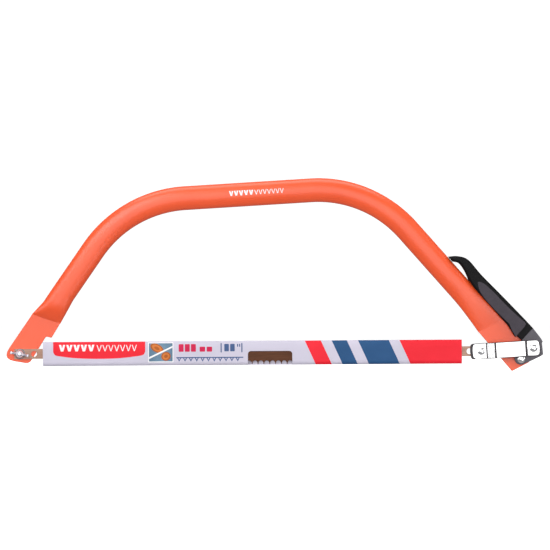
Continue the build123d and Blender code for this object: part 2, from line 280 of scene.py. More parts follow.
def make_piece(name, bm, material, body, stands_for=(), crease=32):
    """Turn a mesh drawn in millimetres into a shown piece that rides on a body."""
    bmesh.ops.scale(bm, vec=(MM, MM, MM), verts=bm.verts)
    obj = new_object(name, bm, material)
    obj.data.polygons.foreach_set("use_smooth", [True] * len(obj.data.polygons))
    obj.data.set_sharp_from_angle(angle=radians(crease))
    evened = obj.modifiers.new("even_shading", "WEIGHTED_NORMAL")
    evened.keep_sharp = True
    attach(obj, body)
    if stands_for:
        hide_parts(*stands_for)
    return obj


# ======== materials
def new_material(name, **sockets):
    """A material with a principled shader, and sockets that are the same all over."""
    material = bpy.data.materials.new(name)
    material.use_nodes = True
    shader = material.node_tree.nodes["Principled BSDF"]
    for socket, value in sockets.items():
        shader.inputs[socket.replace("_", " ")].default_value = value
    return material, material.node_tree, shader


def add_node(tree, kind, **inputs):
    """A shader node; each of its inputs gets a value or another node's output."""
    node = tree.nodes.new("ShaderNode" + kind)
    for name, value in inputs.items():
        socket = node.inputs[name.replace("_", " ")]
        if isinstance(value, bpy.types.NodeSocket):
            tree.links.new(value, socket)
        else:
            socket.default_value = value
    return node


def noise_field(tree, scale, stretch=(1, 1, 1), detail=4.0):
    """Noise over the object's own coordinates; scale is in cycles per metre."""
    coordinates = add_node(tree, "TexCoord").outputs["Object"]
    mapping = add_node(tree, "Mapping", Vector=coordinates, Scale=stretch)
    field = add_node(tree, "TexNoise", Vector=mapping.outputs["Vector"], Scale=scale,
                     Detail=detail, Roughness=0.55)
    return field.outputs["Fac"]


def ramp(tree, value, stops):
    """Colours along a value; stops are (position, colour)."""
    node = add_node(tree, "ValToRGB", Fac=value)
    elements = node.color_ramp.elements
    while len(elements) < len(stops):
        elements.new(0.5)
    for element, (position, colour) in zip(elements, stops):
        element.position = position
        element.color = (*colour, 1)
    return node.outputs["Color"]


NOISE_LOW, NOISE_HIGH = 0.3, 0.7  # nearly all of a noise field lies between these


def two_tone(tree, field, dark, light):
    """Two colours, mixed by a noise field."""
    return ramp(tree, field, [(NOISE_LOW, dark), (NOISE_HIGH, light)])


def spread(tree, field, low, high):
    """A noise field stretched to run from low to high."""
    node = add_node(tree, "MapRange", Value=field, From_Min=NOISE_LOW, From_Max=NOISE_HIGH,
                    To_Min=low, To_Max=high)
    return node.outputs["Result"]


def add_bump(tree, shader, value, height):
    """Relief of this height in metres."""
    node = add_node(tree, "Bump", Height=value, Distance=height, Strength=1.0)
    tree.links.new(node.outputs["Normal"], shader.inputs["Normal"])


ROUGH_FINER = 2.3  # the patches of roughness are this much finer than those of colour


def surface(name, light, dark, roughness, patch=60, grain=900, relief=0.00003, stretch=(1, 1, 1),
            **sockets):
    """Patchy colour, patchy roughness (low, high) and a fine relief. patch and grain are in cycles
    per metre, and relief is in metres."""
    material, tree, shader = new_material(name, **sockets)
    colours = two_tone(tree, noise_field(tree, patch, stretch), dark, light)
    tree.links.new(colours, shader.inputs["Base Color"])
    rough = noise_field(tree, patch * ROUGH_FINER, stretch)
    tree.links.new(spread(tree, rough, *roughness), shader.inputs["Roughness"])
    add_bump(tree, shader, noise_field(tree, grain, stretch, detail=2.0), relief)
    return material


orange_paint = surface("orange_powder_coat", (0.92, 0.1, 0.02), (0.88, 0.086, 0.016),
                       (0.32, 0.4), patch=18, grain=700, relief=0.00005,
                       Coat_Weight=0.5, Coat_Roughness=0.25)
black_plastic = surface("black_moulded_plastic", (0.006, 0.006, 0.007), (0.003, 0.003, 0.0035),
                        (0.4, 0.5), patch=90, grain=1600, relief=0.00004,
                        Specular_IOR_Level=0.12)
# lighter grey for the grip's flat side pads: painted reflection of the light on glossy black plastic
pad_painted_sheen = surface("grip_side_painted_sheen", (0.046, 0.036, 0.05), (0.034, 0.027, 0.037),
                   (0.42, 0.52), patch=70, grain=1500, relief=0.00004, Specular_IOR_Level=0.35)
black_paint = surface("black_lever_paint", (0.1, 0.09, 0.108), (0.08, 0.074, 0.087),
                      (0.33, 0.42), patch=80, grain=800, Specular_IOR_Level=0.4)
nickel = surface("bright_nickel", (0.95, 0.95, 0.955), (0.88, 0.88, 0.89),
                 (0.1, 0.16), patch=140, grain=700, relief=0.000004, stretch=(1, 4, 4),
                 Metallic=1.0)
# dark nickel for the link's bends, edges, inner faces and end lip: painted shade and painted dark
# reflection lines
nickel_painted_shade = surface("nickel_painted_shade", (0.075, 0.065, 0.07), (0.045, 0.04, 0.044),
                      (0.4, 0.5), patch=300, grain=1200, relief=0.00001, Metallic=0.3,
                      Specular_IOR_Level=0.2)
zinc = surface("bright_zinc", (0.9, 0.88, 0.94), (0.74, 0.72, 0.78),
               (0.26, 0.38), patch=420, grain=1500, relief=0.00002, Metallic=1.0)
# dull zinc for the washer, made darker to stand in for the shade that falls under the wing nut:
# painted shade
dull_and_shaded_zinc = surface("dull_and_shaded_zinc", (0.3, 0.285, 0.295), (0.15, 0.14, 0.145),
                    (0.25, 0.4), patch=500, grain=1500, Metallic=0.9)
dark_steel = surface("dark_steel", (0.1, 0.095, 0.1), (0.045, 0.043, 0.045),
                     (0.28, 0.42), patch=300, grain=1500, relief=0.00002, Metallic=0.85)
sleeve_card = surface("film_faced_card", (0.64, 0.6, 0.72), (0.58, 0.555, 0.66),
                      (0.34, 0.44), patch=14, grain=160, Specular_IOR_Level=0.3)

# the dark brown along the teeth is a lacquer darkened as painted shade inside the sleeve; it fades to
# bare steel between these
LACQUER_AND_SHADE_ENDS, BARE_FROM = 0.214, 0.226  # metres from the middle of the blade, either way


def blade_finish():
    """Dark brown along the teeth: a brown lacquer, made darker as painted shade of the sleeve over
    it; bare bronze-coloured tails at the ends.
    """
    material, tree, shader = new_material("lacquered_and_shaded_blade_steel", Metallic=0.55,
                                          Specular_IOR_Level=0.35)
    split = add_node(tree, "SeparateXYZ", Vector=add_node(tree, "TexCoord").outputs["Object"])
    distance = add_node(tree, "Math")
    distance.operation = "ABSOLUTE"
    tree.links.new(split.outputs["X"], distance.inputs[0])
    edge = add_node(tree, "MapRange", Value=distance.outputs["Value"], From_Min=LACQUER_AND_SHADE_ENDS,
                    From_Max=BARE_FROM)
    streaks = noise_field(tree, 60, (1, 9, 9))
    mix = add_node(tree, "Mix")
    mix.data_type = "RGBA"
    tree.links.new(edge.outputs["Result"], mix.inputs["Factor"])
    # dark brown: lacquer colour darkened as painted shade inside the sleeve
    lacquer_and_shade = two_tone(tree, streaks, (0.078, 0.027, 0.011), (0.118, 0.042, 0.018))
    bare = two_tone(tree, streaks, (0.34, 0.2, 0.15), (0.45, 0.28, 0.21))
    tree.links.new(lacquer_and_shade, mix.inputs["A"])
    tree.links.new(bare, mix.inputs["B"])
    tree.links.new(mix.outputs["Result"], shader.inputs["Base Color"])
    along_blade = (1, 12, 12)
    roughness = spread(tree, noise_field(tree, 300, along_blade), 0.34, 0.46)
    tree.links.new(roughness, shader.inputs["Roughness"])
    add_bump(tree, shader, noise_field(tree, 500, along_blade, detail=2.0), 0.00001)
    return material


blade_steel = blade_finish()


def ink(name, colour, shade):
    """Printing ink under the sleeve's gloss film."""
    return surface(name, colour, shade, (0.34, 0.44), patch=24, grain=300, relief=0.00001,
                   Specular_IOR_Level=0.15)


red_ink = ink("red_ink", (0.9, 0.024, 0.042), (0.84, 0.02, 0.035))
blue_ink = ink("blue_ink", (0.026, 0.095, 0.235), (0.02, 0.08, 0.205))
slate_ink = ink("slate_ink", (0.075, 0.13, 0.29), (0.06, 0.105, 0.24))
crimson_ink = ink("crimson_ink", (0.68, 0.02, 0.09), (0.58, 0.016, 0.07))
white_ink = ink("white_ink", (0.95, 0.93, 0.94), (0.88, 0.86, 0.88))
sky_ink = ink("sky_ink", (0.2, 0.33, 0.45), (0.04, 0.09, 0.15))
bark_ink = ink("bark_ink", (0.5, 0.13, 0.025), (0.26, 0.06, 0.014))
wood_ink = ink("wood_ink", (0.72, 0.22, 0.05), (0.5, 0.12, 0.026))

# ======== camera, light and floor, in metres
SLEEVE_ROOM = 0.04  # room under the saw for the sleeve in its pose
FLOOR = cad_box[0][2] - SLEEVE_ROOM
camera_data = bpy.data.cameras.new("camera")
camera = bpy.data.objects.new("camera", camera_data)
scene.collection.objects.link(camera)
DISTANCE, SEEN_WIDTH = 3.5, 0.6204
AIM = Vector((0.0281, 0.0, 0.0873))
ROLL = radians(0.36)
camera_data.sensor_width = 36.0
camera_data.lens = camera_data.sensor_width * DISTANCE / SEEN_WIDTH
camera.location = AIM + Vector((0, -DISTANCE, 0))
level = Matrix.Rotation(radians(90), 3, "X")
camera.rotation_euler = (level @ Matrix.Rotation(-ROLL, 3, "Z")).to_euler()
scene.camera = camera
scene.view_settings.view_transform = "Standard"

# greys of the room round the saw, from straight below to straight above
SURROUND = [(0.0, (0.4, 0.4, 0.41)), (0.5, (0.2, 0.2, 0.205)), (1.0, (0.34, 0.34, 0.34))]


def studio_world():
    """A grey room, darkest at the height of the horizon."""
    world = bpy.data.worlds.new("studio")
    scene.world = world
    world.use_nodes = True
    tree = world.node_tree
    direction = add_node(tree, "TexCoord").outputs["Generated"]
    split = add_node(tree, "SeparateXYZ", Vector=direction)
    rise = add_node(tree, "MapRange", Value=split.outputs["Z"], From_Min=-1.0)
    greys = ramp(tree, rise.outputs["Result"], SURROUND)
    tree.links.new(greys, tree.nodes["Background"].inputs["Color"])


studio_world()


LIGHT_AIM = Vector((0.0, 0.0, 0.1))


def softbox(name, place, size, power):
    """A large soft studio light that faces the saw; size is (width, height), power in watts."""
    data = bpy.data.lights.new(name, "AREA")
    data.shape = "RECTANGLE"
    data.size, data.size_y = size
    data.energy = power
    lamp = bpy.data.objects.new(name, data)
    lamp.location = place
    lamp.rotation_euler = (LIGHT_AIM - Vector(place)).to_track_quat("-Z", "Y").to_euler()
    scene.collection.objects.link(lamp)


softbox("front_light", (0.25, -2.2, 0.3), (2.5, 1.3), 17.5)
softbox("key_light", (-0.9, -1.8, 1.1), (1.3, 1.0), 15)
softbox("top_light", (0.0, -0.4, 1.6), (1.9, 0.8), 14)
softbox("left_light", (-1.8, -1.25, 0.25), (0.8, 1.7), 9)
softbox("right_light", (2.0, -0.9, 0.6), (0.7, 1.2), 7)
softbox("low_light", (1.1, -1.7, -0.45), (0.9, 0.6), 4)
softbox("back_light", (0.0, 2.2, 0.9), (2.0, 1.0), 14)


def glowing(name, colour, glow):
    """A matt stage material with a little light of its own, so that it stays white."""
    material, tree, shader = new_material(name, Roughness=0.9)
    shades = two_tone(tree, noise_field(tree, 3.0), colour, [c * 0.99 for c in colour])
    tree.links.new(shades, shader.inputs["Base Color"])
    shader.inputs["Emission Color"].default_value = (1, 1, 1, 1)
    shader.inputs["Emission Strength"].default_value = glow
    return material


def stage_object(name, bm, material):
    """A part of the studio: seen by the camera, but it throws no light or shadow on the saw."""
    obj = new_object(name, bm, material)
    obj.visible_diffuse = False
    obj.visible_glossy = False
    obj.visible_shadow = False


BACKDROP_RADIUS = 6.0
bm = bmesh.new()
bmesh.ops.create_grid(bm, x_segments=8, y_segments=8, size=BACKDROP_RADIUS)
bmesh.ops.translate(bm, verts=bm.verts, vec=(0, 0, FLOOR))
stage_object("floor", bm, glowing("studio_floor", (0.5, 0.5, 0.5), 0.86))
bm = bmesh.new()
bmesh.ops.create_uvsphere(bm, u_segments=48, v_segments=24, radius=BACKDROP_RADIUS)
bmesh.ops.reverse_faces(bm, faces=bm.faces)
stage_object("backdrop", bm, glowing("studio_backdrop", (0.2, 0.2, 0.2), 1.0))

# ======== bow
TUBE_WIDTH, TUBE_DEPTH = 27.1, 15.5
BEND_RADIUS = 135.0
LEFT_BEND, RIGHT_BEND = Vector((-139.1, 170.9)), Vector((134.9, 186.3))
TOP_RUN = (RIGHT_BEND - LEFT_BEND).normalized()
FLAT_HALF = 1.3  # half the thickness of the flattened ends
RING = 56  # points round the tube
CREASE_TURN = 2.4  # a section turns to the crease's skew over this many crease half widths
OVAL, BOXY = 2, 1.5  # power of the tube's oval, and what flattening adds to it


def smooth(t):
    """An even start and stop between 0 and 1."""
    t = min(1.0, max(0.0, t))
    return t * t * (3 - 2 * t)


class Leg:
    """One leg of the bow, from its bend down to the crease of its flattened end. A section's plus
    side is the inside of the bow on the left leg and the outside on the right leg. Angles are in
    degrees. flatten, and widen for the plus and the minus side, are (reach before the crease,
    power)."""

    def __init__(self, bend, angle, length, skew, flatten, flat_width, flat_y, shift, widen):
        self.bend = bend
        self.angle = radians(angle)
        self.down = Vector((cos(self.angle), sin(self.angle)))
        self.length = length
        self.skew = radians(skew)
        self.flatten = flatten
        self.crease_half = flat_width / 2 / cos(self.skew)
        self.flat_y = flat_y
        self.shift = shift
        self.widen = widen

    def across(self, turned):
        """The direction across the leg, turned towards the crease by this share of its skew."""
        facing_angle = self.angle + self.skew * turned
        return Vector((-sin(facing_angle), cos(facing_angle)))

    def crease_end(self, half):
        """The point of the crease this far from its middle."""
        return self.bend + self.down * self.length + self.across(1) * (self.shift + half)

    def section(self, before):
        """The tube's section at this distance before the crease: its middle, the direction across
        it, its half width, half depth, Y of its middle, and power."""
        round_half = TUBE_WIDTH / 2
        edges = (self.crease_half + self.shift, self.crease_half - self.shift)
        plus, minus = (round_half + (edge - round_half) * max(0.0, 1 - before / reach) ** power
                       for edge, (reach, power) in zip(edges, self.widen))
        flat = max(0.0, 1 - before / self.flatten[0]) ** self.flatten[1]
        across = self.across(smooth(1 - before / (CREASE_TURN * self.crease_half)))
        middle = self.bend + self.down * (self.length - before) + across * (plus - minus) / 2
        depth = TUBE_DEPTH / 2 + (FLAT_HALF - TUBE_DEPTH / 2) * flat
        return middle, across, (plus + minus) / 2, depth, self.flat_y * flat, OVAL + BOXY * flat


LEFT_LEG = Leg(LEFT_BEND, angle=-124.8, length=160.3, skew=15.9, flatten=(24.0, 2.2),
               flat_width=32.7, flat_y=1.7, shift=0.0, widen=((34.0, 1.0), (17.0, 1.0)))
RIGHT_LEG = Leg(RIGHT_BEND, angle=-48.7, length=209.6, skew=-14.9, flatten=(72.0, 1.25),
                flat_width=32.3, flat_y=0.0, shift=-1.0, widen=((40.0, 1.0), (52.0, 1.7)))


def bend_sections(leg, run, steps=26):
    """(middle, outward direction) of round sections along a leg's bend, from the leg to the run."""
    half = acos(max(-1.0, min(1.0, leg.down.dot(run)))) / 2
    reach = BEND_RADIUS / tan(half)
    inward = (leg.down + run).normalized()
    hub = leg.bend + inward * BEND_RADIUS / sin(half)
    first = leg.bend + leg.down * reach - hub
    turn = (pi - 2 * half) * (1 if first.x * run.y - first.y * run.x > 0 else -1)
    out = []
    for k in range(steps + 1):
        radial = Matrix.Rotation(turn * k / steps, 2) @ first
        out.append((hub + radial, radial.normalized()))
    return out


def ring_points(section):
    """Points round a section, along a superellipse of its power."""
    middle, across, half, depth, shift, power = section
    out = []
    for i in range(RING):
        a = 2 * pi * i / RING
        u = half * copysign(abs(cos(a)) ** (2 / power), cos(a))
        v = depth * copysign(abs(sin(a)) ** (2 / power), sin(a))
        spot = middle + across * u
        out.append((spot.x, v + shift, spot.y))
    return out


NEAR_CREASE, ALONG_LEG = 30, 4  # steps where the tube changes shape, and where it doesn't


def bow_tube():
    """The oval tube from crease to crease."""
    sections = []
    for leg, run in ((LEFT_LEG, TOP_RUN), (RIGHT_LEG, -TOP_RUN)):
        bend = bend_sections(leg, run)
        sign = 1 if leg.section(leg.length)[1].dot(bend[0][1]) > 0 else -1
        straight = leg.length - (bend[0][0] - leg.bend).length
        reach = max(leg.flatten[0], *(distance for distance, _ in leg.widen))
        places = [reach * (k / NEAR_CREASE) ** 1.5 for k in range(NEAR_CREASE + 1)]
        places += [reach + (straight - reach) * k / ALONG_LEG for k in range(1, ALONG_LEG)]
        half = [(m, across * sign, h, d, y, n)
                for m, across, h, d, y, n in map(leg.section, places)]
        half += [(spot, radial, TUBE_WIDTH / 2, TUBE_DEPTH / 2, 0.0, OVAL) for spot, radial in bend]
        sections += half if leg is LEFT_LEG else half[::-1]
    bm = bmesh.new()
    rows = [[bm.verts.new(p) for p in ring_points(section)] for section in sections]
    skin(bm, rows, capped=True)
    bmesh.ops.recalc_face_normals(bm, faces=bm.faces)
    return bm


TUCKED_SIDE, TUCKED_END = 0.4, 1.0  # how far a flat end starts inside the tube


def flat_end(leg, outline, radii, hole):
    """The flattened end beyond the crease; it starts a little inside the tube."""
    half = leg.crease_half - TUCKED_SIDE
    corners = [leg.crease_end(half), leg.crease_end(-half)]
    first, last = sorted(corners, key=lambda corner: (Vector(outline[0]) - corner).length)
    tuck = -leg.down * TUCKED_END
    points = [tuple(first + tuck), *outline, tuple(last + tuck)]
    return slab(soften(points, [0.0, *radii, 0.0]), leg.flat_y - FLAT_HALF, leg.flat_y + FLAT_HALF,
                edge=0.35, holes=[hole])


SQUARE_HOLE_HALF, NECK_HALF = 2.5, 2.45  # hole for the bolt's square neck, and the neck
RIVET = 2.5  # radius of the lever's two rivets, and of their holes in bow and link
left_end = flat_end(LEFT_LEG, [(-224.5, 18.0), (-230.7, 19.5), (-249.7, -11.0), (-281.0, -5.8)],
                    [0.6, 2.8, 7.0, 13.5], square_about(CLAMP, SQUARE_HOLE_HALF))
right_end = flat_end(RIGHT_LEG, [(294.6, -22.8), (313.8, -13.0), (318.6, -3.9), (316.2, 0.5)],
                     [1.2, 1.5, 2.0, 2.0], circle(PIVOT, RIVET))
bow = combine(combine(bow_tube(), left_end, "UNION"), right_end, "UNION")
make_piece("bow_frame", bow, orange_paint, "bow", ["frame_tube"], crease=24)

# small turned pieces between the plates keep their CAD shapes
for node in ("pivot_spacer_front", "pivot_spacer_rear", "link_spacer", "grip_pin"):
    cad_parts[node].data.materials.clear()
    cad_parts[node].data.materials.append(dark_steel)

# mark printed on the top of the bow: a plain row of saw teeth, bold and then fine
TOP_UP = Vector((-TOP_RUN.y, TOP_RUN.x))
TOP_MIDDLE = (LEFT_BEND + RIGHT_BEND) / 2
DECAL_RAISE = 0.03


def on_top_run(along, lift, up):
    """A point of a flat drawing laid on the front of the tube's straight top run."""
    height = up / (TUBE_WIDTH / 2)
    spot = TOP_MIDDLE + TOP_RUN * along + TOP_UP * up
    return (spot.x, -TUBE_DEPTH / 2 * sqrt(1 - height**2) + lift, spot.y)


V_WIDTH = 0.88  # share of the pitch that a V takes
V_INSIDE, V_POINT = 1.3, 0.55  # height of its inner corner and half its point, in lines


def tooth_row(start, base, pitch, height, line, count):
    """Outlines of a row of V marks, like the teeth of a saw; line is the width of their arms."""
    marks = []
    for i in range(count):
        left = start + i * pitch
        middle, right = left + pitch * V_WIDTH / 2, left + pitch * V_WIDTH
        marks.append([(left, base + height), (left + line, base + height),
                      (middle, base + line * V_INSIDE), (right - line, base + height),
                      (right, base + height), (middle + line * V_POINT, base),
                      (middle - line * V_POINT, base)])
    return marks


def printed(outlines, raise_from, raise_to):
    """Thin closed shapes for a print, drawn flat, their front at -raise_to."""
    return merge([slab(outline, -raise_to, -raise_from) for outline in outlines])


DECAL_FROM, DECAL_FINE_FROM, DECAL_BASE = -20.9, 7.7, -1.0
decal = printed(tooth_row(DECAL_FROM, DECAL_BASE, 5.6, 5.6, 1.7, 5)
                + tooth_row(DECAL_FINE_FROM, DECAL_BASE, 4.8, 5.2, 0.75, 7), 0.0, DECAL_RAISE)
cut_across(decal, "z", [DECAL_BASE + k for k in range(1, 6)])
move_points(decal, on_top_run)
make_piece("tube_mark", decal, white_ink, "bow")

# ======== blade
BLADE_LEFT, BLADE_RIGHT = extent("blade", "x")
BLADE_HALF = extent("blade", "y")[1]
TAIL, BACK, GULLET, TIP = 5.6, 6.8, -9.0, -12.9
TOOTHED_FROM, PITCH, TEETH, SHOULDER = -226.0, 6.6, 69, 7.0
GULLET_HALF = 2.95
TIP_HALF = PITCH / 2 - GULLET_HALF
TOOTHED_TO = TOOTHED_FROM + TEETH * PITCH
TOOTH_SET = 0.35
TIP_THINNING = 0.25  # share of the blade's thickness that a tip loses
TAIL_CORNER = 3.3
SLOT_LEFT, SLOT_RIGHT, SLOT_HALF = 2.5, 8.3, 3.1  # the tension slot, either side of the pin
HOLE, SPARE_HOLE = 3.0, 3.3
LEFT_SPARE, RIGHT_SPARE = 15.7, 13.1  # from the clamp bolt and from the tension pin


def gullet(middle):
    """One dome-shaped gap between two teeth, from right to left."""
    turns = [pi * k / 10 for k in range(11)]
    return [(middle + GULLET_HALF * cos(a), TIP + (GULLET - TIP) * sin(a) ** 0.8) for a in turns]


def blade_outline():
    """The blade from the left tail along the back, round the right tail and back by the teeth."""
    points = [(BLADE_LEFT, TAIL), (TOOTHED_FROM - SHOULDER, TAIL), (TOOTHED_FROM, BACK),
              (TOOTHED_TO, BACK), (TOOTHED_TO + SHOULDER, TAIL),
              (BLADE_RIGHT - TAIL_CORNER, TAIL), (BLADE_RIGHT, TAIL - TAIL_CORNER),
              (BLADE_RIGHT, TAIL_CORNER - TAIL), (BLADE_RIGHT - TAIL_CORNER, -TAIL),
              (TOOTHED_TO + SHOULDER, -TAIL), (TOOTHED_TO, GULLET),
              (TOOTHED_TO - PITCH / 2 + TIP_HALF, TIP)]
    for i in reversed(range(1, TEETH)):
        points += gullet(TOOTHED_FROM + i * PITCH)
    return points + [(TOOTHED_FROM + PITCH / 2 - TIP_HALF, TIP), (TOOTHED_FROM, GULLET),
                     (TOOTHED_FROM - SHOULDER, -TAIL), (BLADE_LEFT, -TAIL)]


def tension_slot():
    """The long hole for the tension pin, hidden between the link plates."""
    left = BLADE_PIN[0] - SLOT_LEFT + SLOT_HALF
    right = BLADE_PIN[0] + SLOT_RIGHT - SLOT_HALF
    return arc((left, 0), SLOT_HALF, 90, 270) + arc((right, 0), SLOT_HALF, -90, 90)


def set_teeth(x, y, z):
    """Thin the teeth towards their tips, and bend them to the front and the rear in turn."""
    if z > GULLET:
        return (x, y, z)
    down = (GULLET - z) / (GULLET - TIP)
    side = 1 if int((x - TOOTHED_FROM) // PITCH) % 2 else -1
    return (x, y * (1 - TIP_THINNING * down) + side * TOOTH_SET * down, z)


blade = slab(blade_outline(), -BLADE_HALF, BLADE_HALF, edge=0.06, steps=1, holes=[
    circle(CLAMP, HOLE), circle((CLAMP[0] + LEFT_SPARE, 0), SPARE_HOLE),
    circle((BLADE_PIN[0] - RIGHT_SPARE, 0), SPARE_HOLE), tension_slot()])
move_points(blade, set_teeth)
make_piece("saw_blade", blade, blade_steel, "bow", ["blade"])

# ======== sleeve
SLEEVE_LEFT, SLEEVE_RIGHT = extent("sleeve_fold", "x")
SLEEVE_BOTTOM, SLEEVE_TOP = extent("sleeve_fold", "z")[0], extent("sleeve_front", "z")[1]
HALF_DEPTH = extent("sleeve_fold", "y")[1]
FOLD_HEIGHT = 4.2
FOLD = SLEEVE_BOTTOM + FOLD_HEIGHT  # height where the fold's curve starts
FOLD_REACH = 3.45  # flat length of the fold, per radian of its turn
CARD = 0.5
LEAN_FROM, LEAN = 4.0, 1.0  # the panels lean together above this height
WAVE, WAVE_SPAN = 0.12, 37.0  # slow waves of the card, and their length per radian
WINDOW = (-3.0, 47.0, 1.7)  # left, right and top
WINDOW_CORNER = 3.5
UNDER = FOLD - FOLD_REACH * pi / 2  # lowest line of the fold, as a flat height
BACK_FROM = FOLD - FOLD_REACH * pi  # where the rear panel starts
BACK_TO = BACK_FROM - (SLEEVE_TOP - FOLD)


def round_sleeve(x, lift, flat):
    """Fold a flat drawing round the sleeve. lift is negative outwards, flat is the height on the
    front panel and goes on below it round the fold and up the rear panel."""
    if BACK_FROM < flat < FOLD:
        turn = (FOLD - flat) / FOLD_REACH
        return (x, -(HALF_DEPTH - lift) * cos(turn), FOLD - (FOLD_HEIGHT - lift) * sin(turn))
    side, z = (-1, flat) if flat >= FOLD else (1, FOLD + BACK_FROM - flat)
    rise = max(0.0, (z - LEAN_FROM) / (SLEEVE_TOP - LEAN_FROM))
    wave = WAVE * sin(x / WAVE_SPAN) * max(0.0, z / SLEEVE_TOP)
    return (x, side * (HALF_DEPTH - LEAN * rise**2 - lift) + side * wave * rise, z)


FOLD_CUTS = [FOLD - k * (FOLD - BACK_FROM) / 16 for k in range(17)]
LEAN_CUTS = [LEAN_FROM + k * (SLEEVE_TOP - LEAN_FROM) / 8 for k in range(8)]
BACK_CUTS = [FOLD + BACK_FROM - z for z in LEAN_CUTS]


def wrap(bm, across):
    """Bend a flat drawing round the sleeve."""
    cut_across(bm, "z", FOLD_CUTS + LEAN_CUTS + BACK_CUTS)
    cut_across(bm, "x", across)
    move_points(bm, round_sleeve)


window = ([(WINDOW[0], UNDER), (WINDOW[1], UNDER)]
          + arc((WINDOW[1] - WINDOW_CORNER, WINDOW[2] - WINDOW_CORNER), WINDOW_CORNER, 0, 90, 8)
          + arc((WINDOW[0] + WINDOW_CORNER, WINDOW[2] - WINDOW_CORNER), WINDOW_CORNER, 90, 180, 8))
sheet = [(SLEEVE_LEFT, SLEEVE_TOP), (SLEEVE_RIGHT, SLEEVE_TOP), (SLEEVE_RIGHT, BACK_TO),
         (SLEEVE_LEFT, BACK_TO)]
WAVE_CUTS = [SLEEVE_LEFT + k * (SLEEVE_RIGHT - SLEEVE_LEFT) / 40 for k in range(1, 40)]
card = slab(sheet, 0.0, CARD, edge=0.08, steps=1, holes=[window])
wrap(card, WAVE_CUTS)
make_piece("sleeve_card", card, sleeve_card, "sleeve",
           ["sleeve_front", "sleeve_rear", "sleeve_fold"])

INK_STEP, INK_DEPTH = 0.02, 0.03  # a layer's height over the one below, and its thickness


def print_on_sleeve(name, outlines, finish, layer=1):
    """A printed shape on the sleeve; each layer lies on the one before."""
    shapes = printed(outlines, INK_STEP * layer - INK_DEPTH, INK_STEP * layer)
    low = min(v.co.x for v in shapes.verts)
    high = max(v.co.x for v in shapes.verts)
    wrap(shapes, [x for x in WAVE_CUTS if low < x < high])
    make_piece(name, shapes, finish, "sleeve")


BLOCK_CORNER = 0.9


def bars(left, low, width, height, count=1, gap=0.0):
    """Plain upright blocks in a row."""
    out = []
    for _ in range(count):
        out.append(soften(box_outline(left, left + width, low, low + height), BLOCK_CORNER))
        left += width + gap
    return out


# slanted stripes run right round the fold; each is given by its left and right edge at the top
PRINT_EDGE = 0.12  # unprinted rim at the card's cut edges
PRINT_TOP, PRINT_END = SLEEVE_TOP - PRINT_EDGE, SLEEVE_RIGHT - PRINT_EDGE
STRIPE_LEAN = 12.4  # how far a stripe moves right over the sleeve's height
STRIPE_SHIFT = STRIPE_LEAN / (SLEEVE_TOP - SLEEVE_BOTTOM) * (PRINT_TOP - UNDER)


def stripe(left, right=None):
    """One stripe on the front, down to the lowest line of the fold, and its twin on the rear. One
    with no right edge runs on to the sleeve's end."""
    right_top, right_low = (right, right + STRIPE_SHIFT) if right else (PRINT_END, PRINT_END)
    return [[(left, top), (left + STRIPE_SHIFT, UNDER), (right_low, UNDER), (right_top, top)]
            for top in (PRINT_TOP, BACK_TO + PRINT_EDGE)]


print_on_sleeve("print_red_stripe", stripe(61.2, 79.3), red_ink)
print_on_sleeve("print_blue_stripes", stripe(91.5, 108.6) + stripe(121.2, 155.9), blue_ink)
print_on_sleeve("print_red_end", stripe(168.0), red_ink)

# red badge hanging from the top edge, with a row of saw teeth in white
BADGE = (-222.5, -118.7)
BADGE_SIDE, BADGE_LOW = -1.9, -6.0  # its lower edge, at the sides and in the middle
badge_middle = sum(BADGE) / 2
badge_curve = [(badge_middle + (BADGE[1] - badge_middle) * t,
                BADGE_LOW + (BADGE_SIDE - BADGE_LOW) * abs(t) ** 2.2)
               for t in (k / 12 for k in (-12, *range(-8, 9), 12))]
badge = soften([(BADGE[0], PRINT_TOP), *badge_curve, (BADGE[1], PRINT_TOP)],
               [0.0, 6.0, *[0.0] * 17, 6.0, 0.0], steps=10)
print_on_sleeve("print_badge", [badge], red_ink)
print_on_sleeve("print_badge_teeth", tooth_row(-216.0, 2.6, 8.2, 7.4, 2.5, 5)
                + tooth_row(-173.5, 2.6, 6.6, 7.0, 0.95, 7), white_ink, 2)

# small picture: two logs and a saw blade across them
PICTURE = (-114.6, -87.9, -9.3, 11.2)  # left, right, low and high edge
BORDER = 0.9
print_on_sleeve("print_picture_border", [box_outline(
    PICTURE[0] - BORDER, PICTURE[1] + BORDER, PICTURE[2] - BORDER, PICTURE[3] + BORDER)],
    white_ink)
print_on_sleeve("print_picture_sky", [box_outline(*PICTURE)], sky_ink, 2)


# centre, half width, half height and tilt of each log's end
LOGS = (((-105.6, 5.6), 8.0, 4.6, -28.0), ((-95.4, -3.6), 5.4, 5.0, 20.0))
# bark, cut face and heart, as shares of the log's width and height
LOG_PARTS = (("print_logs", 1.0, 1.0, bark_ink), ("print_log_ends", 0.78, 0.74, wood_ink),
             ("print_log_rings", 0.4, 0.34, bark_ink))
for layer, (name, wide, high, finish) in enumerate(LOG_PARTS, 3):
    print_on_sleeve(name, [ellipse(centre, across * wide, up * high, tilt)
                           for centre, across, up, tilt in LOGS], finish, layer)
print_on_sleeve("print_picture_blade", [[(-114.4, -6.6), (-114.4, -4.4), (-88.1, 8.0),
                                         (-88.1, 6.2)]], white_ink, 6)

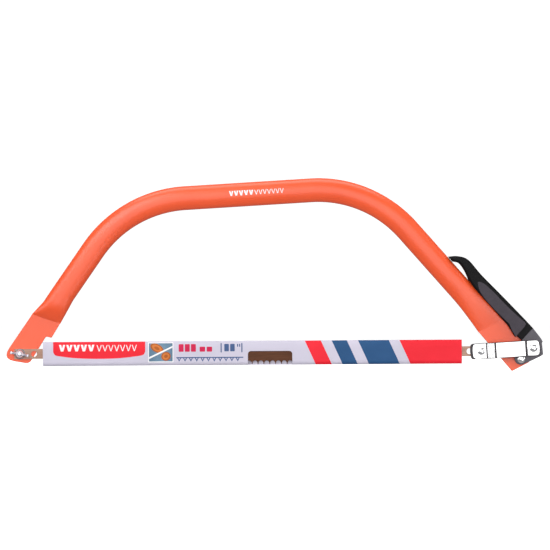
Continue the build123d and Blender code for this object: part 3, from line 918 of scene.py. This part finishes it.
# plain blocks where a size would be printed, and a line of teeth under them
print_on_sleeve("print_crimson_blocks", bars(-81.0, 1.4, 5.6, 8.6, count=3, gap=1.3)
                + bars(-57.4, 1.4, 6.2, 5.6, count=2, gap=1.7), crimson_ink)
print_on_sleeve("print_slate_blocks", bars(-33.8, 0.4, 1.3, 10.6)
                + bars(-29.6, 1.6, 5.2, 8.4, count=2, gap=1.4)
                + bars(-15.2, 6.6, 1.3, 3.4, count=2, gap=1.0)
                + bars(-10.4, 0.4, 1.3, 10.6), slate_ink)
LINE_FROM, LINE_TO, LINE_LOW, LINE_HIGH = -83.7, -8.2, -5.8, -4.6
MARK_PITCH, MARK_COUNT = 6.6, 11


def tooth_mark(number):
    """One outlined tooth that hangs from the line."""
    left, tip, right = (LINE_FROM + number * MARK_PITCH + step for step in (1.0, 3.2, 5.4))
    return [(left, LINE_LOW), (left + 1.3, LINE_LOW), (tip, LINE_LOW - 2.0),
            (right - 1.3, LINE_LOW), (right, LINE_LOW), (tip, LINE_LOW - 4.0)]


print_on_sleeve("print_tooth_line", [box_outline(LINE_FROM, LINE_TO, LINE_LOW, LINE_HIGH)]
                + [tooth_mark(number) for number in range(MARK_COUNT)], slate_ink)
print_on_sleeve("print_rear_blocks", bars(-180.0, -40.0, 9.0, 12.0, count=5, gap=2.4), slate_ink)

# ======== clamp: bolt, washer, wing nut
BOLT_FRONT, BOLT_BACK = extent("clamp_bolt", "y")
WASHER_FRONT, WASHER_BACK = extent("clamp_washer", "y")
WASHER_LEFT, WASHER_RIGHT = extent("clamp_washer", "x")
WASHER_RADIUS = (WASHER_RIGHT - WASHER_LEFT) / 2
THREAD, THREAD_PITCH, THREAD_DEPTH = 2.5, 0.8, 0.38
LEAD_IN, LEAD_IN_START = 0.9, 0.55  # length of the bolt's taper, and share of its radius at the tip
PLATE_BACK = 3.0  # Y of the flat end's rear face, where the head sits
BOLT_HEAD = 5.5


def thread(front, back, segments=36, rows_per_turn=8):
    """A closed screw thread about the clamp's axis."""
    bm = bmesh.new()
    count = int((back - front) / THREAD_PITCH * rows_per_turn)
    rows = []
    for j in range(count + 1):
        y = front + (back - front) * j / count
        taper = min(1.0, LEAD_IN_START + (1 - LEAD_IN_START) * (y - front) / LEAD_IN)
        row = []
        for i in range(segments):
            turn = i / segments
            phase = ((y / THREAD_PITCH) + turn) % 1.0
            radius = (THREAD - THREAD_DEPTH * abs(2 * phase - 1)) * taper
            angle = 2 * pi * turn
            row.append(bm.verts.new((CLAMP[0] + radius * cos(angle), y,
                                     CLAMP[1] + radius * sin(angle))))
        rows.append(row)
    skin(bm, rows, capped=True)
    bmesh.ops.recalc_face_normals(bm, faces=bm.faces)
    return bm


DOME_RIM, DOME_FLAT = 0.25, 0.22  # height of a head's straight rim, and how full it is


def dome(radius, height, base, direction, steps=10):
    """(radius, Y) of a domed head from its rim to its slightly flattened top."""
    ball = (radius**2 + height**2) / (2 * height)
    edge = atan2(radius, ball - height)
    out = [(radius, base), (radius, base + direction * DOME_RIM)]
    for i in range(1, steps):
        left = 1 - i / steps
        rise = ball * cos(edge * left) - (ball - height) + DOME_FLAT * height * left
        out.append((ball * sin(edge * left), base + direction * min(height, rise)))
    return out + [(0.0, base + direction * height)]


THREAD_TUCKED = 0.3  # the thread ends this far inside the neck
neck = slab(soften(square_about(CLAMP, NECK_HALF), 0.5), BLADE_HALF, PLATE_BACK)
head = lathe([(0.0, PLATE_BACK)] + dome(BOLT_HEAD, BOLT_BACK - PLATE_BACK, PLATE_BACK, 1), CLAMP)
bolt = merge([thread(BOLT_FRONT, BLADE_HALF + THREAD_TUCKED), neck, head])
make_piece("clamp_carriage_bolt", bolt, zinc, "bow", ["clamp_bolt"], crease=40)
WASHER_HOLE = 2.75
washer = [(WASHER_HOLE, WASHER_BACK), (WASHER_RADIUS - 0.15, WASHER_BACK),
          (WASHER_RADIUS, WASHER_BACK - 0.15), (WASHER_RADIUS, WASHER_FRONT + 0.3),
          (WASHER_RADIUS - 0.12, WASHER_FRONT + 0.1), (WASHER_RADIUS - 0.35, WASHER_FRONT),
          (WASHER_HOLE + 0.35, WASHER_FRONT), (WASHER_HOLE, WASHER_FRONT + 0.3)]
make_piece("flat_washer", lathe(washer, CLAMP, ring=True), dull_and_shaded_zinc, "washer",
           ["clamp_washer"])

# wing nut: a tapered hub and two wings that sweep out and forward, as (distance out, distance
# forward of the washer)
HUB = [(2.55, 0.0), (4.75, 0.0), (4.75, 0.9), (4.4, 1.5), (3.85, 4.6), (3.5, 5.15), (2.9, 5.2),
       (2.55, 4.9)]
WING = flowing([(3.0, 0.9), (5.2, 1.3), (7.8, 3.2), (10.0, 6.0), (10.7, 8.4), (10.0, 9.7),
                (8.6, 9.5), (7.0, 7.4), (5.2, 5.6), (3.0, 4.6)], steps=5)
WING_TURN = radians(-11.0)
WING_HALF = 1.3
WING_AT_HUB, WING_SWELL = 0.9, 0.035  # share of that half thickness, and its growth per mm


def on_hub(turn):
    """A change that stands a wing drawn flat on the hub, thicker towards its tip."""
    def place(out, side, forward):
        side *= WING_AT_HUB + WING_SWELL * out
        return (CLAMP[0] + out * cos(turn) - side * sin(turn), WASHER_FRONT - forward,
                CLAMP[1] + out * sin(turn) + side * cos(turn))
    return place


nut = lathe([(out, WASHER_FRONT - forward) for out, forward in HUB], CLAMP, ring=True)
for turn in (WING_TURN, WING_TURN + pi):
    wing = slab(WING, -WING_HALF, WING_HALF, edge=0.7, steps=4)
    move_points(wing, on_hub(turn))
    bmesh.ops.recalc_face_normals(wing, faces=wing.faces)
    nut = combine(nut, wing, "UNION")
make_piece("wing_nut_casting", nut, zinc, "nut", ["wing_nut"], crease=50)

# ======== lever
CHANNEL_HALF = 5.5
CHEEK_INNER = 4.0
LOBE, LOBE_SINK = 7.5, 1.2  # radius below the pivot, and how far it is pressed in
LOBE_FROM, LOBE_TURN, LOBE_STEPS = 172.0, 132.0, 18
SINK_STEPS, SINK_DELAY = 12, 0.15  # the pressing-in grows over these steps, a little late


def lobe():
    """The channel's lobe, from the left of the pivot round below it."""
    out = []
    for k in range(LOBE_STEPS + 1):
        turn = radians(LOBE_FROM + LOBE_TURN * k / LOBE_STEPS)
        radius = LOBE - LOBE_SINK * smooth(k / SINK_STEPS - SINK_DELAY)
        out.append((PIVOT[0] + radius * cos(turn), PIVOT[1] + radius * sin(turn)))
    return out


CHANNEL = [(314.2, -12.0), (327.0, -5.9), (329.7, -3.9), (328.3, 8.6), (329.2, 10.6),
           (326.9, 14.5), (317.9, 26.2), (314.1, 25.9), (279.8, 62.2), (272.8, 58.6),
           (287.3, 36.5), (305.5, 14.1), *lobe()]
# the room between the channel's cheeks, open towards the bow
CHANNEL_SPACE = [(268.0, 57.0), (277.7, 61.9), (313.5, 23.9), (316.9, 24.3),
                 (325.5, 13.4), (327.4, 10.4), (326.7, 8.4), (328.0, -3.0), (330.0, -12.0),
                 (305.0, -30.0), (270.0, 0.0)]
RIVET_HOLE = 2.55
channel = slab(CHANNEL, -CHANNEL_HALF, CHANNEL_HALF, edge=0.9,
               holes=[circle(PIVOT, RIVET_HOLE), circle(KNUCKLE, RIVET_HOLE)])
channel = combine(channel, slab(CHANNEL_SPACE, -CHEEK_INNER, CHEEK_INNER), "DIFFERENCE")
make_piece("lever_channel", channel, black_paint, "lever", ["tension_lever"])

GRIP_HALF, COLLAR_HALF = 8.0, 6.0
GRIP = (flowing([(223.6, 106.9), (234.0, 107.3), (245.8, 103.1), (260.6, 86.0), (280.7, 65.4),
                 (310.9, 33.9)])
        + [(298.2, 15.3), (289.7, 29.1)]
        + flowing([(253.5, 69.8), (246.6, 80.0), (243.8, 86.3), (240.4, 92.9), (235.2, 99.4),
                   (228.4, 101.2)]))
# the grip's sides reach a little over the edge of the tube, which lies in a groove between them
GROOVE = [(300.7, 15.0), (291.2, 30.4), (246.4, 80.7), (238.0, 74.0), (283.0, 22.0), (292.0, 8.0)]
GROOVE_HALF = 5.0
COLLAR = [(308.0, 36.9), (318.7, 25.2), (316.2, 23.8), (305.4, 11.9), (296.9, 20.0)]
grip = combine(slab(GRIP, -GRIP_HALF, GRIP_HALF, edge=2.6, steps=6),
               slab(GROOVE, -GROOVE_HALF, GROOVE_HALF), "DIFFERENCE")
grip = combine(grip, slab(soften(COLLAR, 0.6), -COLLAR_HALF, COLLAR_HALF, edge=0.5), "UNION")
grip = combine(grip, slab(CHANNEL, -CHANNEL_HALF, CHANNEL_HALF), "DIFFERENCE")
grip = combine(grip, slab(CHANNEL_SPACE, -CHEEK_INNER, CHEEK_INNER), "DIFFERENCE")
make_piece("grip_body", grip, black_plastic, "lever", ["lever_grip"])

# raised pads on both sides of the grip, coloured lighter than the black body as a painted reflection
# of the light on the flat faces of the glossy black plastic
PAD = ([(298.6, 16.2), (294.0, 24.2)]
       + flowing([(291.6, 30.6), (279.4, 42.4), (271.9, 50.5), (264.3, 59.1), (258.5, 67.8),
                  (256.0, 77.4)], steps=4)
       + flowing([(257.8, 78.4), (263.4, 76.0), (273.2, 67.4), (285.4, 54.6), (296.8, 43.2),
                  (309.0, 32.5)], steps=3)
       + [(310.2, 30.4), (309.0, 27.8)])
PAD_PROUD, PAD_SUNK = 0.3, 0.6
for side, word in ((-1, "front"), (1, "rear")):
    front, back = sorted((side * (GRIP_HALF - PAD_SUNK), side * (GRIP_HALF + PAD_PROUD)))
    make_piece(f"grip_pad_{word}", slab(PAD, front, back), pad_painted_sheen, "lever")

# ======== link and its rivets
LINK_RIGHT = (Vector(KNUCKLE) - Vector(BLADE_PIN)).normalized()
LINK_UP = Vector((-LINK_RIGHT.y, LINK_RIGHT.x))
LINK_LENGTH = (Vector(KNUCKLE) - Vector(BLADE_PIN)).length
LINK_HALF, STRAP = 8.9, 1.6
LINK_ENDS = (-10.3, LINK_LENGTH + 7.5)
LIP_REACH, LIP_SINK = 2.2, 0.15  # a turned lip at the end beside the blade, coloured dark as painted shade
# (distance along the link, distance of the strap's middle from the blade's plane): beside the
# blade, then outwards, and in again onto the lever
STEPS = [(LINK_ENDS[0] - 4, 2.25), (7.3, 2.25), (16.0, 8.6), (50.0, 8.6), (51.8, 6.45),
         (LINK_ENDS[1] + 1, 6.45)]
SPINE = soften(STEPS, 1.5, closed=False, steps=6)


def joggle(along):
    """(distance from the blade's plane, slope) of the strap's middle."""
    for (x0, y0), (x1, y1) in zip(SPINE, SPINE[1:]):
        if along <= x1:
            return y0 + (y1 - y0) * (along - x0) / (x1 - x0), (y1 - y0) / (x1 - x0)
    return SPINE[-1][1], 0.0


# stretches along the link across its bends, painted dark as shade and dark reflection lines, like the
# cut edges
BEND_SHADE_BANDS = ((5.6, 7.5), (15.3, 16.9), (49.2, 51.0))
PIN_HOLE = 2.05
FACING_OUT, CLEAR_OF_LIP = 0.98, 0.05  # which faces stay bright; the rest are painted dark as shade
CORNER, END_CURVE, END_BOW = 4.6, 30.0, 0.9  # the strap's corners, and how its ends bow out
LIP_BOW, LIP_TUCKED, LIP_HALF = 1.2, 5.0, 8.7


def link_plate(side):
    """One strap of the link, drawn flat from pin to rivet and then bent; side is -1 for the front."""
    left, right = LINK_ENDS
    outline = soften([(left + END_BOW, -LINK_HALF), (right - END_BOW, -LINK_HALF), (right, 0.0),
                      (right - END_BOW, LINK_HALF), (left + END_BOW, LINK_HALF), (left, 0.0)],
                     [CORNER, CORNER, END_CURVE] * 2, steps=8)
    tip, lip_face = left - LIP_REACH, STRAP / 2 - LIP_SINK
    lip = soften([(tip + LIP_BOW, -LIP_HALF), (left + LIP_TUCKED, -LIP_HALF),
                  (left + LIP_TUCKED, LIP_HALF), (tip + LIP_BOW, LIP_HALF), (tip, 0.0)],
                 [CORNER, 0.0, 0.0, CORNER, END_CURVE], steps=8)
    plate = slab(outline, -STRAP / 2, STRAP / 2, edge=0.7,
                 holes=[circle((0, 0), PIN_HOLE), circle((LINK_LENGTH, 0), RIVET)])
    plate = combine(plate, slab(lip, -lip_face, lip_face), "UNION")
    cut_across(plate, "x", [x for x, _ in SPINE[1:-1]] + [x for mark in BEND_SHADE_BANDS for x in mark])
    plate.normal_update()
    for face in plate.faces:
        middle = face.calc_center_median()
        in_bend_shade = any(low < middle.x < high for low, high in BEND_SHADE_BANDS)
        kept_bright = (face.normal.y * side > FACING_OUT
                    and middle.y * side > lip_face + CLEAR_OF_LIP)
        # faces in the bend bands, on the edges, inside and on the lip take the dark nickel: painted
        # shade
        face.material_index = int(in_bend_shade or not kept_bright)

    def bend(along, thick, up):
        distance, slope = joggle(along)
        normal = Vector((-slope, 1.0)).normalized()
        spot = (Vector(BLADE_PIN) + LINK_RIGHT * (along + normal.x * thick * side) + LINK_UP * up)
        return (spot.x, side * distance + normal.y * thick, spot.y)

    move_points(plate, bend)
    bmesh.ops.recalc_face_normals(plate, faces=plate.faces)
    return plate


for side, word in ((-1, "front"), (1, "rear")):
    strap = make_piece(f"link_strap_{word}", link_plate(side), nickel, "link",
                       [f"link_plate_{word}"])
    strap.data.materials.append(nickel_painted_shade)

RIVET_HEAD, HEAD_HEIGHT = 4.6, 2.0


def rivet(node, centre):
    """A rivet as long as its CAD node, domed on both sides."""
    seat = extent(node, "y")[1] - HEAD_HEIGHT
    front = dome(RIVET_HEAD, HEAD_HEIGHT, -seat, -1)
    back = dome(RIVET_HEAD, HEAD_HEIGHT, seat, 1)
    return lathe(front[::-1] + [(RIVET, -seat), (RIVET, seat)] + back, centre)


make_piece("link_dome_rivet", rivet("link_rivet", KNUCKLE), nickel, "link",
           ["link_rivet"])
make_piece("pivot_dome_rivet", rivet("pivot_rivet", PIVOT), nickel, "bow",
           ["pivot_rivet"])

PIN_RADIUS, PIN_HEAD, PIN_HEAD_HEIGHT = 2.0, 4.3, 1.8
PIN_GROOVE = PIN_RADIUS - 0.3  # radius in the groove near the pin's tail
pin_front, pin_back = extent("blade_pin", "y")
pin_seat = pin_front + PIN_HEAD_HEIGHT
pin_profile = (dome(PIN_HEAD, PIN_HEAD_HEIGHT, pin_seat, -1)[::-1]
               + [(PIN_RADIUS, pin_seat), (PIN_RADIUS, pin_back - 1.3),
                  (PIN_GROOVE, pin_back - 1.15), (PIN_GROOVE, pin_back - 0.85),
                  (PIN_RADIUS, pin_back - 0.7), (PIN_RADIUS - 0.5, pin_back), (0.0, pin_back)])
make_piece("tension_pin", lathe(pin_profile, BLADE_PIN), nickel, "pin", ["blade_pin"])
